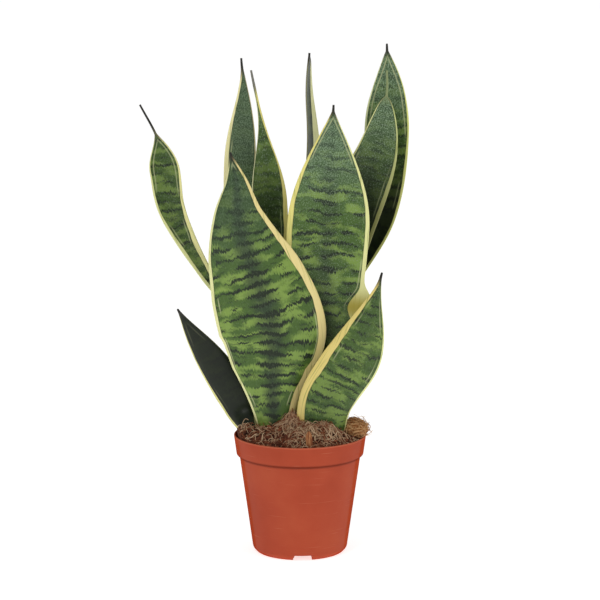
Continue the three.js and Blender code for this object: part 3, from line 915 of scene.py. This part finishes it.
chip = makeChip()
chip.data.materials.append(barkMaterial())
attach(chip, "root")
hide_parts("bark_chip")
print("stage: bark chip set")


rhizomeLook = {"pale": "#c9a274", "dark": "#8a5c35", "ringGap": 5.0}


def rhizomeMaterial():
    # living rhizome, papery skin: pale orange-tan with darker scale rings around it
    material, tree = newMaterial("snake plant rhizome papery")
    put = partial(addNode, tree)
    place = put("TexCoord").outputs["Object"]
    along = put("SeparateXYZ", place).outputs["X"]
    blotch = put("TexNoise", Vector=place, Scale=120.0, Detail=4.0)
    turn = put("Math MULTIPLY_ADD", along, 2 * math.pi / (rhizomeLook["ringGap"] * mm),
               put("Math MULTIPLY", blotch, 4.0))
    ring = put("MapRange SMOOTHSTEP", put("Math SINE", turn), 0.5, 0.95)
    tan = put("Mix RGBA", blotch, hexLinear(rhizomeLook["dark"]), hexLinear(rhizomeLook["pale"]))
    skin = put("Mix RGBA", put("Math MULTIPLY", ring, 0.7), tan, hexLinear(rhizomeLook["dark"]))
    bump = put("Bump", Strength=0.5, Distance=0.0008, Height=ring)
    finishMaterial(tree, put("BsdfPrincipled", Base_Color=skin, Roughness=0.6, Normal=bump))
    return material


# the rhizome keeps its construction mesh; only its skin is new
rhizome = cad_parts["rhizome"]
rhizome.data.materials.clear()
rhizome.data.materials.append(rhizomeMaterial())
print("stage: rhizome skinned")


studioLook = {
    "world": 0.35, "key": 8.0, "fill": 6.0, "keyPlace": (-0.9, -1.6, 1.7), "fillPlace": (1.5, -1.2, 1.2),
    "aim": (0, 0, 0.25), "softboxSize": 1.0, "floor": "#ffffff", "floorGlow": 0.68, "floorHalf": 20.0,
}


def makeFloor():
    half = studioLook["floorHalf"]
    corners = [(-half, -half, 0), (half, -half, 0), (half, half, 0), (-half, half, 0)]
    return newObject("floor", corners, [(0, 1, 2, 3)], False)


def floorMaterial():
    # seamless white paper, evenly lit: the ground reads as plain white
    material, tree = newMaterial("paper seamless white")
    white = hexLinear(studioLook["floor"])
    finishMaterial(tree, addNode(tree, "BsdfPrincipled", Base_Color=white, Roughness=0.9,
                                 Emission_Color=white, Emission_Strength=studioLook["floorGlow"]))
    return material


floor = makeFloor()
floor.data.materials.append(floorMaterial())

world = bpy.data.worlds.new("studio")
bpy.context.scene.world = world
world.use_nodes = True
background = world.node_tree.nodes["Background"]
background.inputs["Color"].default_value = (1, 1, 1, 1)
background.inputs["Strength"].default_value = studioLook["world"]


def addLight(name, place, watts):
    data = bpy.data.lights.new(name, "AREA")
    data.shape, data.size, data.energy = "DISK", studioLook["softboxSize"], watts
    obj = bpy.data.objects.new(name, data)
    bpy.context.scene.collection.objects.link(obj)
    obj.location = place
    toAim = Vector(studioLook["aim"]) - Vector(place)
    obj.rotation_euler = toAim.to_track_quat("-Z", "Y").to_euler()


addLight("softbox_key", studioLook["keyPlace"], studioLook["key"])
addLight("softbox_fill", studioLook["fillPlace"], studioLook["fill"])

# metres from the pot's axis and above the floor, degrees of look-down, lens and sensor in mm
cameraLook = {"away": 2.2, "height": 0.6042, "down": 9.63, "lens": 148.8, "sensor": 36}
camera = bpy.data.objects.new("camera", bpy.data.cameras.new("camera"))
bpy.context.scene.collection.objects.link(camera)
camera.data.lens, camera.data.sensor_width = cameraLook["lens"], cameraLook["sensor"]
camera.location = (potAxis[0], potAxis[1] - cameraLook["away"], cameraLook["height"])
camera.rotation_euler = (math.radians(90 - cameraLook["down"]), 0, 0)
bpy.context.scene.camera = camera
bpy.context.scene.view_settings.view_transform = "Standard"
print("stage: studio ready")
